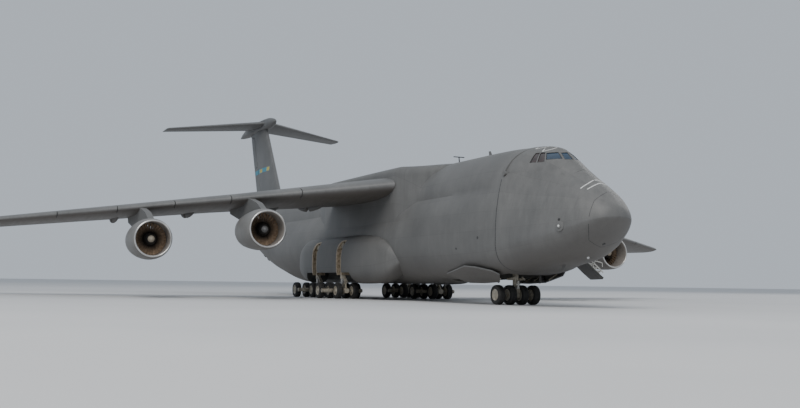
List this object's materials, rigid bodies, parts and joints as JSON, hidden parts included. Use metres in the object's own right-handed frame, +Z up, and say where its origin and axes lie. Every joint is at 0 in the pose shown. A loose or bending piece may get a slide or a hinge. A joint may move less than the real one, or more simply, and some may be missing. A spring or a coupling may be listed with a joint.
{
  "type": "military transport plane, 1:2 scale model",
  "caption": "Heavy high-wing T-tail military transport plane as a 1:2 scale model, with a lifting nose visor, open cargo hold, ramps, turbofans and rows of main wheels.",
  "frame": {"origin": "on the ground, under the middle of the overall length and of the span", "axes": "+X to the nose, +Y to port, +Z up"},
  "size_m": [37.75, 33.94, 9.925],
  "materials": {
    "body_grey": "matt mid-grey aircraft paint, weathered and streaked",
    "belly_grey": "the same grey, browned by grime underneath",
    "cowl": "grey cowl paint with a bright metal inlet lip",
    "fan_blade": "dull brownish metal",
    "glass": "dark laminated windscreen glass",
    "gear_paint": "off-white gear enamel with oily stains",
    "tyre": "worn black aircraft tyre",
    "ramp_plate": "scuffed grey ramp plate"
  },
  "bodies": {
    "airframe": {"fuselage_shell": "body_grey", "flight_deck_glass": "glass", "sponson_left": "belly_grey", "sponson_right": "belly_grey", "wing_left": "body_grey", "wing_right": "body_grey", "slat_left": "body_grey", "slat_right": "body_grey", "inner_pylon_left": "body_grey", "inner_pylon_right": "body_grey", "outer_pylon_left": "body_grey", "outer_pylon_right": "body_grey", "inner_engine_left": "cowl", "inner_engine_right": "cowl", "outer_engine_left": "cowl", "outer_engine_right": "cowl", "forward_main_leg_left": "gear_paint", "forward_main_leg_right": "gear_paint", "aft_main_leg_left": "gear_paint", "aft_main_leg_right": "gear_paint", "nose_gear_door_left": "belly_grey", "nose_gear_door_right": "belly_grey", "fin": "body_grey", "bullet": "body_grey", "stabiliser_left": "body_grey", "stabiliser_right": "body_grey"},
    "visor": {"visor": "body_grey"},
    "nose_ramp": {"nose_ramp": "ramp_plate"},
    "aft_ramp": {"aft_ramp": "belly_grey"},
    "aft_door_left": {"aft_door_left": "belly_grey"},
    "aft_door_right": {"aft_door_right": "belly_grey"},
    "crew_door": {"crew_door": "body_grey"},
    "nose_truck": {"nose_leg": "gear_paint"},
    "nose_wheels": {"nose_wheels": "tyre"},
    "forward_main_wheels_front_left": {"forward_main_wheels_front_left": "tyre"},
    "forward_main_wheels_front_right": {"forward_main_wheels_front_right": "tyre"},
    "forward_main_wheels_rear_left": {"forward_main_wheels_rear_left": "tyre"},
    "forward_main_wheels_rear_right": {"forward_main_wheels_rear_right": "tyre"},
    "aft_main_wheels_front_left": {"aft_main_wheels_front_left": "tyre"},
    "aft_main_wheels_front_right": {"aft_main_wheels_front_right": "tyre"},
    "aft_main_wheels_rear_left": {"aft_main_wheels_rear_left": "tyre"},
    "aft_main_wheels_rear_right": {"aft_main_wheels_rear_right": "tyre"},
    "inner_fan_left": {"inner_fan_left": "fan_blade"},
    "inner_fan_right": {"inner_fan_right": "fan_blade"},
    "outer_fan_left": {"outer_fan_left": "fan_blade"},
    "outer_fan_right": {"outer_fan_right": "fan_blade"},
    "inboard_flap_left": {"inboard_flap_left": "body_grey"},
    "inboard_flap_right": {"inboard_flap_right": "body_grey"},
    "outboard_flap_left": {"outboard_flap_left": "body_grey"},
    "outboard_flap_right": {"outboard_flap_right": "body_grey"},
    "aileron_left": {"aileron_left": "body_grey"},
    "aileron_right": {"aileron_right": "body_grey"},
    "elevator_left": {"elevator_left": "body_grey"},
    "elevator_right": {"elevator_right": "body_grey"},
    "rudder": {"rudder": "body_grey"}
  },
  "joints": [
    {"name": "visor_hinge", "type": "hinge", "parent": "airframe", "child": "visor", "pos_m": [15.035, 0, 3.95], "axis": [0, -1, 0], "range_deg": [0, 75]},
    {"name": "nose_ramp_hinge", "type": "hinge", "parent": "airframe", "child": "nose_ramp", "pos_m": [15.11, 0, 1.25], "axis": [0, 1, 0], "range_deg": [0, 105]},
    {"name": "aft_ramp_hinge", "type": "hinge", "parent": "airframe", "child": "aft_ramp", "pos_m": [-4.525, 0, 0.62], "axis": [0, -1, 0], "range_deg": [0, 18]},
    {"name": "aft_door_left_hinge", "type": "hinge", "parent": "airframe", "child": "aft_door_left", "pos_m": [-7.245, 1.105, 1.25605], "axis": [0.9706, 0.0737, -0.2292], "range_deg": [0, 80]},
    {"name": "aft_door_right_hinge", "type": "hinge", "parent": "airframe", "child": "aft_door_right", "pos_m": [-7.245, -1.105, 1.25605], "axis": [-0.9706, 0.0737, 0.2292], "range_deg": [0, 80]},
    {"name": "crew_door_hinge", "type": "hinge", "parent": "airframe", "child": "crew_door", "pos_m": [14.175, 1.57862, 1.55], "axis": [0.998, -0.0626, 0], "range_deg": [0, 130]},
    {"name": "nose_steering", "type": "hinge", "parent": "airframe", "child": "nose_truck", "pos_m": [13.575, 0, 0.6], "axis": [0, 0, 1], "range_deg": [-60, 60]},
    {"name": "nose_wheels_spin", "type": "hinge", "parent": "nose_truck", "child": "nose_wheels", "pos_m": [13.575, 0, 0.31125], "axis": [0, 1, 0], "continuous": true},
    {"name": "forward_main_wheels_front_left_spin", "type": "hinge", "parent": "airframe", "child": "forward_main_wheels_front_left", "pos_m": [4.315, 2.074, 0.31125], "axis": [0, 1, 0], "continuous": true},
    {"name": "forward_main_wheels_front_right_spin", "type": "hinge", "parent": "airframe", "child": "forward_main_wheels_front_right", "pos_m": [4.315, -2.074, 0.31125], "axis": [0, 1, 0], "continuous": true},
    {"name": "forward_main_wheels_rear_left_spin", "type": "hinge", "parent": "airframe", "child": "forward_main_wheels_rear_left", "pos_m": [3.4895, 2.074, 0.31125], "axis": [0, 1, 0], "continuous": true},
    {"name": "forward_main_wheels_rear_right_spin", "type": "hinge", "parent": "airframe", "child": "forward_main_wheels_rear_right", "pos_m": [3.4895, -2.074, 0.31125], "axis": [0, 1, 0], "continuous": true},
    {"name": "aft_main_wheels_front_left_spin", "type": "hinge", "parent": "airframe", "child": "aft_main_wheels_front_left", "pos_m": [1.51, 2.074, 0.31125], "axis": [0, 1, 0], "continuous": true},
    {"name": "aft_main_wheels_front_right_spin", "type": "hinge", "parent": "airframe", "child": "aft_main_wheels_front_right", "pos_m": [1.51, -2.074, 0.31125], "axis": [0, 1, 0], "continuous": true},
    {"name": "aft_main_wheels_rear_left_spin", "type": "hinge", "parent": "airframe", "child": "aft_main_wheels_rear_left", "pos_m": [0.6845, 2.074, 0.31125], "axis": [0, 1, 0], "continuous": true},
    {"name": "aft_main_wheels_rear_right_spin", "type": "hinge", "parent": "airframe", "child": "aft_main_wheels_rear_right", "pos_m": [0.6845, -2.074, 0.31125], "axis": [0, 1, 0], "continuous": true},
    {"name": "inner_fan_left_spin", "type": "hinge", "parent": "airframe", "child": "inner_fan_left", "pos_m": [7.575, 6.3, 2.45], "axis": [1, 0, 0], "continuous": true},
    {"name": "inner_fan_right_spin", "type": "hinge", "parent": "airframe", "child": "inner_fan_right", "pos_m": [7.575, -6.3, 2.45], "axis": [1, 0, 0], "continuous": true},
    {"name": "outer_fan_left_spin", "type": "hinge", "parent": "airframe", "child": "outer_fan_left", "pos_m": [5.675, 9.85, 2.07], "axis": [1, 0, 0], "continuous": true},
    {"name": "outer_fan_right_spin", "type": "hinge", "parent": "airframe", "child": "outer_fan_right", "pos_m": [5.675, -9.85, 2.07], "axis": [1, 0, 0], "continuous": true},
    {"name": "inboard_flap_left_hinge", "type": "hinge", "parent": "airframe", "child": "inboard_flap_left", "pos_m": [3.18648, 2.05, 3.71587], "axis": [0.2432, -0.9671, 0.0751], "range_deg": [0, 40]},
    {"name": "inboard_flap_right_hinge", "type": "hinge", "parent": "airframe", "child": "inboard_flap_right", "pos_m": [3.18648, -2.05, 3.71587], "axis": [-0.2432, -0.9671, -0.0751], "range_deg": [0, 40]},
    {"name": "outboard_flap_left_hinge", "type": "hinge", "parent": "airframe", "child": "outboard_flap_left", "pos_m": [1.99108, 6.75, 3.34949], "axis": [0.3596, -0.9291, 0.0866], "range_deg": [0, 40]},
    {"name": "outboard_flap_right_hinge", "type": "hinge", "parent": "airframe", "child": "outboard_flap_right", "pos_m": [1.99108, -6.75, 3.34949], "axis": [-0.3596, -0.9291, -0.0866], "range_deg": [0, 40]},
    {"name": "aileron_left_hinge", "type": "hinge", "parent": "airframe", "child": "aileron_left", "pos_m": [-0.00514, 11.75, 2.98337], "axis": [-0.3565, 0.9297, -0.0924], "range_deg": [-20, 20]},
    {"name": "aileron_right_hinge", "type": "hinge", "parent": "airframe", "child": "aileron_right", "pos_m": [-0.00514, -11.75, 2.98337], "axis": [-0.3565, -0.9297, -0.0924], "range_deg": [-20, 20]},
    {"name": "elevator_left_hinge", "type": "hinge", "parent": "airframe", "child": "elevator_left", "pos_m": [-15.61373, 0.475, 9.59264], "axis": [0.1905, -0.9788, 0.0756], "range_deg": [-20, 20]},
    {"name": "elevator_right_hinge", "type": "hinge", "parent": "airframe", "child": "elevator_right", "pos_m": [-15.61373, -0.475, 9.59264], "axis": [-0.1905, -0.9788, -0.0756], "range_deg": [-20, 20]},
    {"name": "rudder_hinge", "type": "hinge", "parent": "airframe", "child": "rudder", "pos_m": [-13.7396, 0, 5.45], "axis": [-0.4469, 0, 0.8946], "range_deg": [-25, 25]}
  ],
  "couplings": [
    {"joint": "nose_ramp_hinge", "follows": "visor_hinge", "ratio": 1.4}
  ]
}
